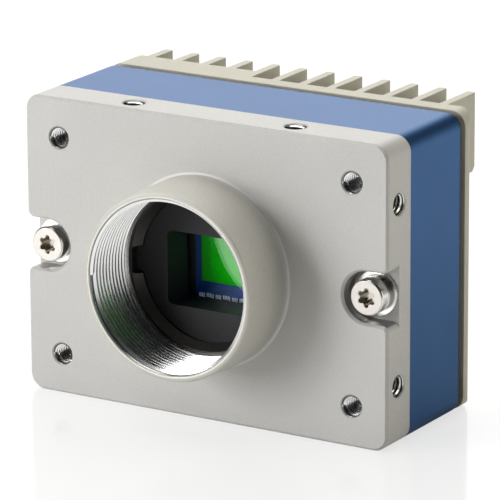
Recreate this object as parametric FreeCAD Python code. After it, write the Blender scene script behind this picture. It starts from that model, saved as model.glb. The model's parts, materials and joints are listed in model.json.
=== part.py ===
"""Machine vision camera: a front plate with a screw-in lens mount, a tubular
housing, a finned rear cover and the sensor stack between them.

Sizes are in millimetres. The camera is drawn with the optical axis along Y,
the lens side towards -Y, y = 0 on the front plate's face and z = 0 on the
optical axis. Each piece is moved to the part's own frame as it is saved: the
origin is then under the middle of the camera, on the face that it stands on.
"""
import FreeCAD, Part
import math
import os
from FreeCAD import Vector

# ---- Body -----------------------------------------------------------------
body_width = 59.6
body_height = 44.0
corner_radius = 2.3
least_corner = 0.3
plate_thickness = 6.3
plate_edge_chamfer = 0.35
sleeve_length = 14.0
sleeve_wall = 1.8
gasket_thickness = 1.55
gasket_recess = 0.8
lip_height = 1.9
lip_wall = 1.2
fit_clearance = 0.15

# ---- Lens mount -----------------------------------------------------------
flange_focal_distance = 17.526
mount_height = 9.9
mount_thread_radius = 12.7
mount_lead_chamfer = 0.15
mount_rim_wall = 0.95
mount_base_wall = 1.15
mount_bulge = 0.15
mount_rim_round = 0.4
round_steps = 2
recess_corner = 1.0
mount_base_fillet = 0.3
thread_run_out = 0.5
ring_shoulder = 0.4
ring_thickness = 1.5
ring_land = 0.5
ring_opening_inset = 1.55
ring_bevel_depth = 1.1
ring_notch_width = 4.0
ring_notch_depth = 1.0
thread_clearance = 0.05

# ---- Sensor and its mask ---------------------------------------------------
aperture_width = 13.2
aperture_height = 10.85
aperture_drop = 0.62
aperture_corner = 0.8
mask_thickness = 1.6
tunnel_wall = 0.9
tunnel_clearance = 0.2
glass_width = 17.0
glass_height = 15.0
glass_thickness = 0.4
glass_to_tunnel = 0.25
glass_bevel = 0.1
package_width = 20.0
package_height = 18.0
package_depth = 2.15
package_rim = 2.4
package_floor = 0.95
die_width = 12.06
die_height = 11.4
die_drop = 0.5
die_gap = 0.626
recess_clearance = 0.5
recess_step = 0.75

# ---- Tapped fixing holes ---------------------------------------------------
tapped_radius = 1.5
tapped_mouth = 0.28
front_hole_inset_x = 5.7
front_hole_inset_z = 5.9
front_hole_depth = 5.3
edge_hole_depth_back = 3.15
top_hole_inset = 16.5
side_hole_inset = 8.9
edge_hole_depth = 4.0

# ---- Housing screws --------------------------------------------------------
screw_inset = 3.4
screw_radius = 1.45
screw_clearance_radius = 1.65
screw_head_radius = 2.6
screw_head_height = 2.0
screw_head_bevel = 0.2
screw_tip_margin = 0.55
socket_depth = 1.3
socket_core_radius = 1.02
socket_lobe_radius = 0.36
socket_lobe_ring = 1.06
lock_washer_radius = 2.5
lock_washer_thickness = 0.7
lock_washer_split = 0.35
lock_washer_slant = 25.0
lock_washer_turn = 60.0
lobe_count = 6
flat_washer_radius = 3.25
flat_washer_thickness = 0.5
slot_clearance = 0.5
slot_mouth_round = 1.0
channel_wall = 1.45

# ---- Rear cover ------------------------------------------------------------
cover_base = 2.7
cover_edge_round = 1.9
block_rise = 3.15
fin_height = 8.15
fin_thickness = 1.35
fin_pitch = 4.63
fin_first_inset = 3.05
fin_end_margin = 3.0
fin_band_height = 11.5
fin_tip_bevel = 0.25
fin_corner_bevel = 0.9
fins_on_block = 5
boss_gap = 0.1

# ---- Network jack and its lock-screw holes ----------------------------------
jack_width = 13.5
jack_height = 16.0
jack_depth = 12.15
jack_proud = 1.3
jack_wall = 0.3
jack_side_margin = 1.55
jack_window_clearance = 0.25
window_corner = 0.4
jack_fit = 0.05
jack_to_screw = 0.45
plug_width = 6.9
plug_height = 11.9
plug_depth = 10.8
plug_offset = 5.0
latch_rows = ((1.8, 6.2), (3.0, 3.2))
contact_count = 8
contact_pitch = 1.02
contact_width = 0.4
contact_reach = 1.7
contact_start = 2.2
contact_length = 6.8
contact_thickness = 0.5
lock_hole_spacing = 21.5
lock_hole_radius = 1.0
lock_hole_depth = 4.0

# ---- Input and output connector, status light -------------------------------
header_width = 13.0
header_height = 6.4
header_wall = 1.0
header_corner = 0.6
header_key_width = 3.0
header_cavity_depth = 5.0
header_proud = 0.45
header_inset_x = 11.0
header_inset_z = 10.5
header_window_clearance = 0.2
pin_columns = 5
pin_rows = 2
pin_pitch = 1.27
pin_size = 0.4
pin_drop = 1.4
pin_fit = 0.02
light_gap = 10.5
light_radius = 1.3
light_collar_radius = 1.9
light_collar = 0.6
light_proud = 0.3
light_bevel = 0.3
light_fit = 0.05
led_gap = 0.1

# ---- Circuit boards ---------------------------------------------------------
board_thickness = 1.2
board_corner = 1.0
board_side_gap = 0.3
board_top_gap = 1.7
board_hole_inset_x = 2.8
board_hole_inset_z = 2.4
post_size = 4.2
stud_radius = 0.95
stud_hole_radius = 1.0
board_hole_radius = 1.1
stud_length = 3.2
stud_spare = 0.3
standoff_flats = 4.0
board_screw_head_radius = 1.9
board_screw_head_height = 1.2
board_screw_reach = 2.2
board_screw_spare = 0.4
driver_slot_width = 0.5
driver_slot_depth = 0.5
link_width = 20.0
link_height = 4.6
link_z = 12.6
link_corner = 0.4
link_groove = 0.8
link_walls = (1.5, 2.0)
chip_size = 15.0
chip_height = 1.4
chip_inset_z = 10.0
chip_bevel = 0.2
chip_gap = 1.0
pad_size = 13.0
pad_thickness = 1.0
pedestal_size = 14.0
memory_width = 8.0
memory_length = 10.0
memory_height = 1.0
memory_edge_gap = 0.5
memory_jack_gap = 1.5
memory_chip_gap = 2.5
memory_below_chip = 3.5
transformer_width = 11.0
transformer_length = 6.0
transformer_height = 3.5
transformer_gap = 1.43
transformer_inset_z = 4.0
led_width = 2.0
led_length = 1.2
led_height = 0.9

# ---- Depths worked out from the sizes above ---------------------------------
half_width = body_width / 2
half_height = body_height / 2
plate_back = plate_thickness
sleeve_back = plate_back + sleeve_length
cover_front = sleeve_back + gasket_thickness
cover_back = cover_front + cover_base
block_back = cover_back + block_rise
fin_tip = cover_back + fin_height
ring_front = -thread_run_out
ring_back = ring_front + ring_thickness
mask_back = ring_back + mask_thickness
sensor_plane = flange_focal_distance - mount_height
package_front = sensor_plane - die_gap
glass_front = package_front - glass_thickness
tunnel_back = glass_front - glass_to_tunnel
package_back = package_front + package_depth
sensor_board_back = package_back + board_thickness
jack_back = block_back + jack_proud
main_board_back = jack_back - jack_depth
main_board_front = main_board_back - board_thickness
header_back = cover_back + header_proud

# ---- Widths and places worked out from the sizes above ----------------------
ring_bore_radius = mount_thread_radius - ring_shoulder
ring_radius = ring_bore_radius - thread_clearance
ring_opening_radius = ring_radius - ring_opening_inset
screw_x = half_width - screw_inset
washer_front = screw_head_height
slot_floor = washer_front + lock_washer_thickness + flat_washer_thickness
slot_radius = flat_washer_radius + slot_clearance
channel_radius = screw_clearance_radius + channel_wall
fin_count = int((body_width - fin_first_inset - fin_end_margin - fin_thickness) / fin_pitch) + 1
fin_left = [-half_width + fin_first_inset + i * fin_pitch for i in range(fin_count)]
block_edge = fin_left[fins_on_block - 1] + fin_thickness
fin_bottom = half_height - fin_band_height
jack_x = block_edge - jack_side_margin - jack_width / 2
board_half_x = screw_x - channel_radius - board_side_gap
board_half_z = half_height - sleeve_wall - board_top_gap
board_screw_x = board_half_x - board_hole_inset_x
board_screw_z = board_half_z - board_hole_inset_z
jack_z = jack_height / 2 + jack_to_screw + board_screw_head_radius - board_screw_z
header_x = board_half_x - header_inset_x
header_z = header_inset_z - board_half_z
light_x = header_x - light_gap
second_memory_x = board_half_x - memory_edge_gap - memory_width / 2
chip_x = second_memory_x - memory_width / 2 - chip_gap - chip_size / 2
chip_z = board_half_z - chip_inset_z
first_memory_x = chip_x - chip_size / 2 - memory_chip_gap - memory_width / 2
first_memory_z = jack_z + jack_height / 2 + memory_jack_gap + memory_length / 2
memory_places = ((first_memory_x, first_memory_z), (second_memory_x, chip_z - memory_below_chip))
transformer_x = jack_x + jack_width / 2 + transformer_gap + transformer_width / 2
transformer_z = transformer_inset_z - board_half_z
window_width = aperture_width + 2 * (tunnel_wall + tunnel_clearance)
window_height = aperture_height + 2 * (tunnel_wall + tunnel_clearance)
overlap = 0.5


# ---- Shapes used more than once ---------------------------------------------
def box(x0, x1, y0, y1, z0, z1):
    """A block between two opposite corners."""
    return Part.makeBox(x1 - x0, y1 - y0, z1 - z0, Vector(x0, y0, z0))


def rod(radius, y0, y1, x=0.0, z=0.0):
    """A round bar along Y."""
    return Part.makeCylinder(radius, y1 - y0, Vector(x, y0, z), Vector(0, 1, 0))


def centred_box(width, height, y0, y1, x=0.0, z=0.0):
    """A block given by its size across X and Z and its middle."""
    return box(x - width / 2, x + width / 2, y0, y1, z - height / 2, z + height / 2)


def rounded_block(width, height, radius, y0, y1, x=0.0, z=0.0):
    """A block whose four edges along Y are rounded."""
    block = centred_box(width, height, y0, y1, x, z)
    along = [e for e in block.Edges if abs(e.Vertexes[0].Y - e.Vertexes[1].Y) > (y1 - y0) / 2]
    return block.makeFillet(radius, along)


def shifted_outline(inset, y0, y1):
    """The camera's outline, drawn in by an inset and given a depth."""
    radius = max(corner_radius - inset, least_corner)
    return rounded_block(body_width - 2 * inset, body_height - 2 * inset, radius, y0, y1)


def fused(shapes):
    """One solid from several that meet."""
    return shapes[0].multiFuse(shapes[1:]).removeSplitter()


def four_places(x, z):
    """The four corners of a rectangle about the optical axis."""
    return [(sx * x, sz * z) for sx in (-1, 1) for sz in (-1, 1)]


def tapped_hole(mouth, inward, depth):
    """The cutter of a tapped hole with a countersunk mouth."""
    start = mouth - inward * overlap
    bore = Part.makeCylinder(tapped_radius, depth + overlap, start, inward)
    wide = tapped_radius + tapped_mouth
    sink = Part.makeCone(wide + overlap, wide, overlap, start, inward)
    rim = Part.makeCone(wide, tapped_radius, tapped_mouth, mouth, inward)
    return fused([bore, sink, rim])


def side_slot(side, floor):
    """The cutter of a round-ended slot that opens through one side wall."""
    r = slot_radius
    m = slot_mouth_round
    q = math.sqrt(0.5)
    edge = half_width
    out = edge + 2 * overlap

    def at(x, z):
        return Vector(side * x, -overlap, z)

    wire = Part.Wire([
        Part.Arc(at(screw_x, r), at(screw_x - r, 0), at(screw_x, -r)).toShape(),
        Part.makeLine(at(screw_x, -r), at(edge - m, -r)),
        Part.Arc(at(edge - m, -r), at(edge - m + q * m, -r - m + q * m), at(edge, -r - m)).toShape(),
        Part.makeLine(at(edge, -r - m), at(out, -r - m)),
        Part.makeLine(at(out, -r - m), at(out, r + m)),
        Part.makeLine(at(out, r + m), at(edge, r + m)),
        Part.Arc(at(edge, r + m), at(edge - m + q * m, r + m - q * m), at(edge - m, r)).toShape(),
        Part.makeLine(at(edge - m, r), at(screw_x, r)),
    ])
    return Part.Face(wire).extrude(Vector(0, floor + overlap, 0))


def turned(points):
    """A solid of revolution about the optical axis from (radius, y) points."""
    corners = [Vector(r, y, 0) for r, y in points]
    face = Part.Face(Part.makePolygon(corners + corners[:1]))
    return face.revolve(Vector(0, 0, 0), Vector(0, 1, 0), 360)


# ---- Front plate --------------------------------------------------------------
def round_points(centre_r, centre_y, radius, start, end):
    """Points of a rounded edge in the (radius, y) plane, from one angle to another."""
    turns = [math.radians(start + (end - start) * i / round_steps) for i in range(round_steps + 1)]
    return [(centre_r + radius * math.cos(t), centre_y + radius * math.sin(t)) for t in turns]


def mount_barrel():
    """The domed barrel of the lens mount, solid, with its foot in the plate."""
    base = mount_thread_radius + mount_base_wall
    rim = mount_thread_radius + mount_rim_wall
    foot = mount_base_fillet
    edge = mount_rim_round
    low = -foot
    high = edge - mount_height
    outline = [(0, overlap), (base + foot, overlap)]
    outline += round_points(base + foot, low, foot, 90, 180)
    outline.append(((base + rim) / 2 + mount_bulge, (low + high) / 2))
    outline += round_points(rim - edge, high, edge, 0, -90)
    outline.append((0, -mount_height))
    return turned(outline)


def mount_bore():
    """The stepped bore: lead chamfer, thread length, then the ring and mask seat."""
    thread = mount_thread_radius
    lead = mount_lead_chamfer
    top = -mount_height
    return turned([
        (0, top - overlap),
        (thread + lead, top - overlap),
        (thread + lead, top),
        (thread, top + lead),
        (thread, ring_front),
        (ring_bore_radius, ring_front),
        (ring_bore_radius, mask_back),
        (0, mask_back),
    ])


def locating_lip(y0, y1):
    """A low wall that drops into the housing, open at the screw channels."""
    outside = sleeve_wall + fit_clearance
    lip = shifted_outline(outside, y0, y1).cut(shifted_outline(outside + lip_wall, y0, y1))
    for side in (-1, 1):
        reach = channel_radius + fit_clearance
        lip = lip.cut(centred_box(4 * reach, 2 * reach, y0, y1, side * half_width))
    return lip


def front_plate():
    plate = rounded_block(body_width, body_height, corner_radius, 0, plate_back)
    for side in (-1, 1):
        plate = plate.cut(side_slot(side, slot_floor))
    face_edges = [e for e in plate.Edges if abs(e.BoundBox.YMin) < 1e-6 and abs(e.BoundBox.YMax) < 1e-6]
    plate = plate.makeChamfer(plate_edge_chamfer, face_edges)
    posts = [centred_box(post_size, post_size, plate_back - overlap, package_back, x, z)
             for x, z in four_places(board_screw_x, board_screw_z)]
    lip = locating_lip(plate_back - overlap, plate_back + lip_height)
    plate = fused([plate, mount_barrel(), lip] + posts).cut(mount_bore())

    window = rounded_block(window_width, window_height, aperture_corner + tunnel_wall,
                           mask_back - overlap, plate_back + overlap, 0, -aperture_drop)
    recess = rounded_block(package_width + 2 * recess_clearance, package_height + 2 * recess_clearance,
                           recess_corner, glass_front - recess_step, plate_back + overlap, 0, -aperture_drop)
    cutters = [window, recess]
    for x, z in four_places(half_width - front_hole_inset_x, half_height - front_hole_inset_z):
        cutters.append(tapped_hole(Vector(x, 0, z), Vector(0, 1, 0), front_hole_depth))
    for side in (-1, 1):
        for end in (-1, 1):
            upright = Vector(end * (half_width - top_hole_inset), edge_hole_depth_back, side * half_height)
            cutters.append(tapped_hole(upright, Vector(0, 0, -side), edge_hole_depth))
            sideways = Vector(side * half_width, edge_hole_depth_back, end * (half_height - side_hole_inset))
            cutters.append(tapped_hole(sideways, Vector(-side, 0, 0), edge_hole_depth))
        cutters.append(rod(screw_clearance_radius, 0, plate_back + overlap, side * screw_x))
    for x, z in four_places(board_screw_x, board_screw_z):
        cutters.append(rod(stud_hole_radius, package_back - stud_length, package_back + overlap, x, z))
    return plate.cut(cutters)


# ---- Inside the mount ----------------------------------------------------------
def retaining_ring():
    """The slotted ring that holds the mask down in the mount."""
    outer = ring_radius
    land = ring_radius - ring_land
    inner = ring_opening_radius
    ring = turned([
        (outer, ring_front),
        (land, ring_front),
        (inner, ring_front + ring_bevel_depth),
        (inner, ring_back),
        (outer, ring_back),
    ])
    reach = inner + ring_notch_depth
    notches = rounded_block(2 * reach, ring_notch_width, ring_notch_depth / 2,
                            ring_front - overlap, ring_back + overlap)
    return ring.cut(notches)


def sensor_mask():
    """The light trap: a disc with a square-cornered tunnel down to the cover glass."""
    disc = rod(ring_radius, ring_back, mask_back)
    tunnel = rounded_block(aperture_width + 2 * tunnel_wall, aperture_height + 2 * tunnel_wall,
                           aperture_corner + tunnel_wall, ring_back, tunnel_back, 0, -aperture_drop)
    opening = rounded_block(aperture_width, aperture_height, aperture_corner,
                            ring_back - overlap, tunnel_back + overlap, 0, -aperture_drop)
    return fused([disc, tunnel]).cut(opening)


def sensor_package():
    """The ceramic chip carrier, with a stepped well for the die."""
    body = centred_box(package_width, package_height, package_front, package_back, 0, -aperture_drop)
    floor = package_back - package_floor
    well = centred_box(package_width - 2 * package_rim, package_height - 2 * package_rim,
                       package_front, floor, 0, -aperture_drop)
    return body.cut(well)


def sensor_die():
    floor = package_back - package_floor
    return centred_box(die_width, die_height, sensor_plane, floor, 0, -die_drop)


def sensor_cover_glass():
    pane = centred_box(glass_width, glass_height, glass_front, package_front, 0, -aperture_drop)
    front_edges = [e for e in pane.Edges if e.BoundBox.YMax < glass_front + 1e-6]
    return pane.makeChamfer(glass_bevel, front_edges)


# ---- Housing -------------------------------------------------------------------
def housing_section(inset, y0, y1, screw_hole):
    """A length of the housing's tube, with a screw channel inside each side wall."""
    shell = shifted_outline(inset, y0, y1).cut(shifted_outline(sleeve_wall, y0, y1))
    channels = [rod(channel_radius, y0, y1, side * screw_x) for side in (-1, 1)]
    outside = shifted_outline(inset, y0, y1)
    tube = fused([shell] + [channel.common(outside) for channel in channels])
    holes = [rod(screw_hole, y0 - overlap, y1 + overlap, side * screw_x) for side in (-1, 1)]
    return tube.cut(holes)


def housing_sleeve():
    return housing_section(0, plate_back, sleeve_back, screw_clearance_radius)


def housing_gasket():
    boss_hole = channel_radius - channel_wall / 2
    return housing_section(gasket_recess, sleeve_back, cover_front, boss_hole)


# ---- Rear cover ----------------------------------------------------------------
def cooling_fin(left):
    """One fin, standing on the block or on the base, with its tip softened."""
    root = (block_back if left < block_edge else cover_back) - overlap
    fin = box(left, left + fin_thickness, root, fin_tip, fin_bottom, half_height)
    tip_edges = [e for e in fin.Edges if e.BoundBox.YMin > fin_tip - 1e-6]
    corner = [e for e in tip_edges if e.BoundBox.ZMax < fin_bottom + 1e-6]
    fin = fin.makeChamfer(fin_corner_bevel, corner)
    sides = [e for e in fin.Edges if e.BoundBox.YMin > fin_tip - 1e-6 and e.BoundBox.ZLength > 1.0]
    return fin.makeChamfer(fin_tip_bevel, sides)


def network_window(y0, y1):
    """The cutter that lets the network jack through the cover."""
    gap = 2 * jack_window_clearance
    return rounded_block(jack_width + gap, jack_height + gap, window_corner, y0, y1, jack_x, jack_z)


def rear_cover():
    base = box(-half_width, half_width, cover_front, cover_back, -half_height, half_height)
    block = box(-half_width, block_edge, cover_front, block_back, -half_height, half_height)
    slab = fused([base, block])
    rounding = min(cover_edge_round, 0.8 * cover_base)
    rear_edges = []
    for edge in slab.Edges:
        bounds = edge.BoundBox
        upright = bounds.ZLength > body_height - 1e-3
        at_left = abs(bounds.XMin + half_width) < 1e-6 and abs(bounds.YMin - block_back) < 1e-6
        at_right = abs(bounds.XMin - half_width) < 1e-6 and abs(bounds.YMin - cover_back) < 1e-6
        if upright and (at_left or at_right):
            rear_edges.append(edge)
    slab = slab.makeFillet(rounding, rear_edges)
    slab = slab.common(shifted_outline(0, cover_front, block_back))

    lip = locating_lip(cover_front - gasket_thickness - lip_height, cover_front + overlap)
    boss_radius = channel_radius - channel_wall / 2 - fit_clearance
    bosses = [rod(boss_radius, sleeve_back + boss_gap, cover_front + overlap, side * screw_x)
              for side in (-1, 1)]
    pad_back = main_board_back + chip_height + pad_thickness
    pedestal = centred_box(pedestal_size, pedestal_size, pad_back, cover_front + overlap, chip_x, chip_z)
    fins = [cooling_fin(left) for left in fin_left]
    cover = fused([slab, lip, pedestal] + bosses + fins)

    cutters = [network_window(cover_front - overlap, block_back + overlap)]
    cutters.append(rounded_block(header_width + 2 * header_window_clearance,
                                 header_height + 2 * header_window_clearance, header_corner,
                                 cover_front - overlap, cover_back + overlap, header_x, header_z))
    cutters.append(rod(light_radius + light_fit, cover_front - overlap, cover_back + overlap,
                       light_x, header_z))
    for end in (-1, 1):
        cutters.append(rod(lock_hole_radius, block_back - lock_hole_depth, block_back + overlap,
                           jack_x, jack_z + end * lock_hole_spacing / 2))
        cutters.append(rod(tapped_radius, sleeve_back, cover_back - screw_tip_margin / 2,
                           end * screw_x))
    return cover.cut(cutters)


# ---- Housing screws and washers ---------------------------------------------------
def at_both_sides(make):
    """The same piece at the left and the right housing screw."""
    return Part.makeCompound([make(side * screw_x) for side in (-1, 1)])


def plate_screw(x):
    """A cheese-head screw with a six-lobed socket."""
    head = rod(screw_head_radius, 0, washer_front, x)
    rim = [e for e in head.Edges if e.BoundBox.YMax < 1e-6]
    head = head.makeChamfer(screw_head_bevel, rim)
    shank = rod(screw_radius, washer_front - overlap, cover_back - screw_tip_margin, x)
    socket = [rod(socket_core_radius, -overlap, socket_depth, x)]
    for lobe in range(lobe_count):
        turn = 2 * math.pi * (lobe + 0.5) / lobe_count
        socket.append(rod(socket_lobe_radius, -overlap, socket_depth,
                          x + socket_lobe_ring * math.cos(turn), socket_lobe_ring * math.sin(turn)))
    return fused([head, shank]).cut(socket)


def lock_washer(x):
    """A split spring washer, cut through at a slant."""
    back = washer_front + lock_washer_thickness
    ring = rod(lock_washer_radius, washer_front, back, x)
    ring = ring.cut(rod(screw_clearance_radius, washer_front, back, x))
    split = box(x, x + 2 * lock_washer_radius, washer_front - overlap, back + overlap,
                -lock_washer_split / 2, lock_washer_split / 2)
    split.rotate(Vector(x, (washer_front + back) / 2, 0), Vector(1, 0, 0), lock_washer_slant)
    split.rotate(Vector(x, 0, 0), Vector(0, 1, 0), -lock_washer_turn)
    return ring.cut(split)


def flat_washer(x):
    front = washer_front + lock_washer_thickness
    ring = rod(flat_washer_radius, front, slot_floor, x)
    return ring.cut(rod(screw_clearance_radius, front, slot_floor, x))


# ---- Circuit boards ------------------------------------------------------------------
def circuit_board(front, back):
    board = rounded_block(2 * board_half_x, 2 * board_half_z, board_corner, front, back)
    holes = [rod(board_hole_radius, front - overlap, back + overlap, x, z)
             for x, z in four_places(board_screw_x, board_screw_z)]
    return board.cut(holes)


def board_standoff(x, z):
    """A hexagonal spacer with a stud that screws into the front plate."""
    corner = standoff_flats / math.sqrt(3)
    points = [Vector(x + corner * math.cos(math.radians(60 * i)), sensor_board_back,
                     z + corner * math.sin(math.radians(60 * i))) for i in range(7)]
    depth = main_board_front - sensor_board_back
    hexagon = Part.Face(Part.makePolygon(points)).extrude(Vector(0, depth, 0))
    stud = rod(stud_radius, package_back - stud_length + stud_spare, sensor_board_back + overlap, x, z)
    hole_depth = board_screw_reach + board_screw_spare
    hole = rod(stud_hole_radius, main_board_front - hole_depth, main_board_front + overlap, x, z)
    return fused([hexagon, stud]).cut(hole)


def board_screw(x, z):
    """A small cheese-head screw with a straight slot."""
    top = main_board_back + board_screw_head_height
    head = rod(board_screw_head_radius, main_board_back, top, x, z)
    shank = rod(stud_radius, main_board_front - board_screw_reach, main_board_back + overlap, x, z)
    slot = centred_box(2 * board_screw_head_radius + overlap, driver_slot_width,
                       top - driver_slot_depth, top + overlap, x, z)
    return fused([head, shank]).cut(slot)


def at_board_corners(make):
    return Part.makeCompound([make(x, z) for x, z in four_places(board_screw_x, board_screw_z)])


def board_link(y0, y1, wall):
    """One half of the plug-in link between the boards, with a groove along it."""
    body = rounded_block(link_width, link_height, link_corner, y0, y1, 0, link_z)
    groove = centred_box(link_width - 2 * wall, link_groove, y0 - overlap, y1 + overlap, 0, link_z)
    return body.cut(groove)


def chip(width, length, height, x, z):
    """A moulded chip with its top edges bevelled."""
    top = main_board_back + height
    body = centred_box(width, length, main_board_back, top, x, z)
    rim = [e for e in body.Edges if e.BoundBox.YMin > top - 1e-6]
    return body.makeChamfer(chip_bevel, rim)


def memory_chips():
    return Part.makeCompound([chip(memory_width, memory_length, memory_height, x, z)
                              for x, z in memory_places])


def thermal_pad():
    front = main_board_back + chip_height
    return centred_box(pad_size, pad_size, front, front + pad_thickness, chip_x, chip_z)


# ---- Network jack ----------------------------------------------------------------------
def plug_opening(y0, y1):
    """The plug's outline: a wide body and two steps for its latch."""
    left = jack_x - plug_offset
    right = left + plug_width
    parts = [box(left, right, y0, y1, jack_z - plug_height / 2, jack_z + plug_height / 2)]
    for rise, height in latch_rows:
        parts.append(box(right - overlap, right + rise, y0, y1, jack_z - height / 2, jack_z + height / 2))
    return fused(parts)


def network_jack_shield():
    """The folded metal can, with the plug's outline cut in its face."""
    outside = centred_box(jack_width, jack_height, main_board_back, jack_back, jack_x, jack_z)
    inside = centred_box(jack_width - 2 * jack_wall, jack_height - 2 * jack_wall,
                         main_board_back, jack_back - jack_wall, jack_x, jack_z)
    return outside.cut([inside, plug_opening(jack_back - jack_wall - overlap, jack_back + overlap)])


def network_jack_insert():
    inset = 2 * (jack_wall + jack_fit)
    face = jack_back - jack_wall
    body = centred_box(jack_width - inset, jack_height - inset, main_board_back, face, jack_x, jack_z)
    return body.cut(plug_opening(jack_back - plug_depth, jack_back))


def network_contacts():
    """Spring wires that slant into the jack from its plug side wall."""
    wall = jack_x - plug_offset
    start = jack_back - contact_start
    end = start - contact_length
    wires = []
    for i in range(contact_count):
        z = jack_z + (i - (contact_count - 1) / 2) * contact_pitch - contact_width / 2
        corners = [
            Vector(wall, start, z),
            Vector(wall, start - contact_thickness, z),
            Vector(wall + contact_reach - contact_thickness / 2, end, z),
            Vector(wall + contact_reach, end, z),
        ]
        wire = Part.Face(Part.makePolygon(corners + corners[:1]))
        wires.append(wire.extrude(Vector(0, 0, contact_width)))
    return Part.makeCompound(wires)


# ---- Input and output connector -----------------------------------------------------------
def pin_places():
    """The middle of each pin of the two rows."""
    return [(header_x + (column - (pin_columns - 1) / 2) * pin_pitch,
             header_z + (row - (pin_rows - 1) / 2) * pin_pitch)
            for column in range(pin_columns) for row in range(pin_rows)]


def header_shroud():
    body = rounded_block(header_width, header_height, header_corner, main_board_back, header_back,
                         header_x, header_z)
    cavity_floor = header_back - header_cavity_depth
    cavity = centred_box(header_width - 2 * header_wall, header_height - 2 * header_wall,
                         cavity_floor, header_back + overlap, header_x, header_z)
    key = box(header_x - header_key_width / 2, header_x + header_key_width / 2,
              cavity_floor, header_back + overlap,
              header_z + header_height / 2 - header_wall - overlap,
              header_z + header_height / 2 - header_wall / 2)
    holes = [centred_box(pin_size + 2 * pin_fit, pin_size + 2 * pin_fit, main_board_back - overlap,
                         header_back, x, z) for x, z in pin_places()]
    return body.cut([cavity, key] + holes)


def header_pins():
    tip = header_back - pin_drop
    pins = []
    for x, z in pin_places():
        pin = centred_box(pin_size, pin_size, main_board_back, tip, x, z)
        end = [e for e in pin.Edges if e.BoundBox.YMin > tip - 1e-6]
        pins.append(pin.makeChamfer(pin_size / 4, end))
    return Part.makeCompound(pins)


# ---- Status light --------------------------------------------------------------------------
def status_led():
    return centred_box(led_width, led_length, main_board_back, main_board_back + led_height,
                       light_x, header_z)


def light_pipe():
    """A clear rod with a collar behind the cover and a domed end."""
    tip = cover_back + light_proud
    stem = rod(light_radius, cover_front - overlap, tip, light_x, header_z)
    rim = [e for e in stem.Edges if e.BoundBox.YMin > tip - 1e-6]
    stem = stem.makeChamfer(light_bevel, rim)
    foot = rod(light_radius, main_board_back + led_height + led_gap, cover_front, light_x, header_z)
    collar = rod(light_collar_radius, cover_front - light_collar, cover_front, light_x, header_z)
    return fused([stem, foot, collar])


# ---- The camera ----------------------------------------------------------------------------
transformer = chip(transformer_width, transformer_length, transformer_height, transformer_x, transformer_z)
link_split = (sensor_board_back + main_board_front) / 2

nodes = {
    "front_plate": front_plate(),
    "retaining_ring": retaining_ring(),
    "sensor_mask": sensor_mask(),
    "sensor_cover_glass": sensor_cover_glass(),
    "sensor_die": sensor_die(),
    "sensor_package": sensor_package(),
    "housing_sleeve": housing_sleeve(),
    "housing_gasket": housing_gasket(),
    "rear_cover": rear_cover(),
    "plate_screws": at_both_sides(plate_screw),
    "lock_washers": at_both_sides(lock_washer),
    "flat_washers": at_both_sides(flat_washer),
    "sensor_board": circuit_board(package_back, sensor_board_back),
    "main_board": circuit_board(main_board_front, main_board_back),
    "board_standoffs": at_board_corners(board_standoff),
    "board_screws": at_board_corners(board_screw),
    "link_socket": board_link(sensor_board_back, link_split, link_walls[0]),
    "link_header": board_link(link_split, main_board_front, link_walls[1]),
    "processor_chip": chip(chip_size, chip_size, chip_height, chip_x, chip_z),
    "thermal_pad": thermal_pad(),
    "memory_chips": memory_chips(),
    "network_transformer": transformer,
    "network_jack_shield": network_jack_shield(),
    "network_jack_insert": network_jack_insert(),
    "network_contacts": network_contacts(),
    "header_shroud": header_shroud(),
    "header_pins": header_pins(),
    "status_led": status_led(),
    "light_pipe": light_pipe(),
}

to_stand = Vector(0, (mount_height - fin_tip) / 2, half_height)
os.makedirs("parts", exist_ok=True)
for name, shape in nodes.items():
    shape.translate(to_stand)
    shape.exportStep("parts/" + name + ".step")
    print(name, len(shape.Solids), round(shape.Volume, 1))
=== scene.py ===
import json
import math

import bmesh
import bpy
from bpy.props import FloatProperty, FloatVectorProperty, IntProperty, PointerProperty
from mathutils import Matrix, Vector


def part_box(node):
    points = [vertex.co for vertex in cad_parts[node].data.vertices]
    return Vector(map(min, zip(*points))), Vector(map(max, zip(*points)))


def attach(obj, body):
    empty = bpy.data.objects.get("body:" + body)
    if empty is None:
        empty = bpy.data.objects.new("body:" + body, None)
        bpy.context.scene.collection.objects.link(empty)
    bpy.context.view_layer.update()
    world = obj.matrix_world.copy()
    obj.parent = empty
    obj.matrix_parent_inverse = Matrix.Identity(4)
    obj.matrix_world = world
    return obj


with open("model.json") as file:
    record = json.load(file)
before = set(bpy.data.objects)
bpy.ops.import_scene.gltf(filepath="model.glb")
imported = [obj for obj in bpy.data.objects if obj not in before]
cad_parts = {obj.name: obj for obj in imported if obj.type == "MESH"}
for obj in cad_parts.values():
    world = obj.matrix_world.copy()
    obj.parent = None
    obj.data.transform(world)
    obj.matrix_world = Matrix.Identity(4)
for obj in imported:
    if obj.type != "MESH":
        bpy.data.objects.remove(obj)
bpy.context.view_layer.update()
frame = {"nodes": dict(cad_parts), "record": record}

bl_info = {
    "name": "Machine vision camera looks",
    "version": (1, 0, 0),
    "blender": (4, 5, 0),
    "location": "3D View > Sidebar > Camera Part",
    "description": "Threads, sensor details, finishes and a studio for the machine vision camera",
    "category": "Object",
}

MM = 0.001
LAMP_DISTANCE = 0.85
FLOOR_SIZE = 6
TAP_START = 0.35 * MM
TAP_DEPTH = 5.4 * MM
LOCK_START = 0.25 * MM

# The camera's own places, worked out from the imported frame. The lens points towards -Y.
plate_low, plate_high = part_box("front_plate")
screws_low, screws_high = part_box("plate_screws")
ring_low, ring_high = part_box("retaining_ring")
die_low, die_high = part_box("sensor_die")
washers_low, washers_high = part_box("flat_washers")

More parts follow.
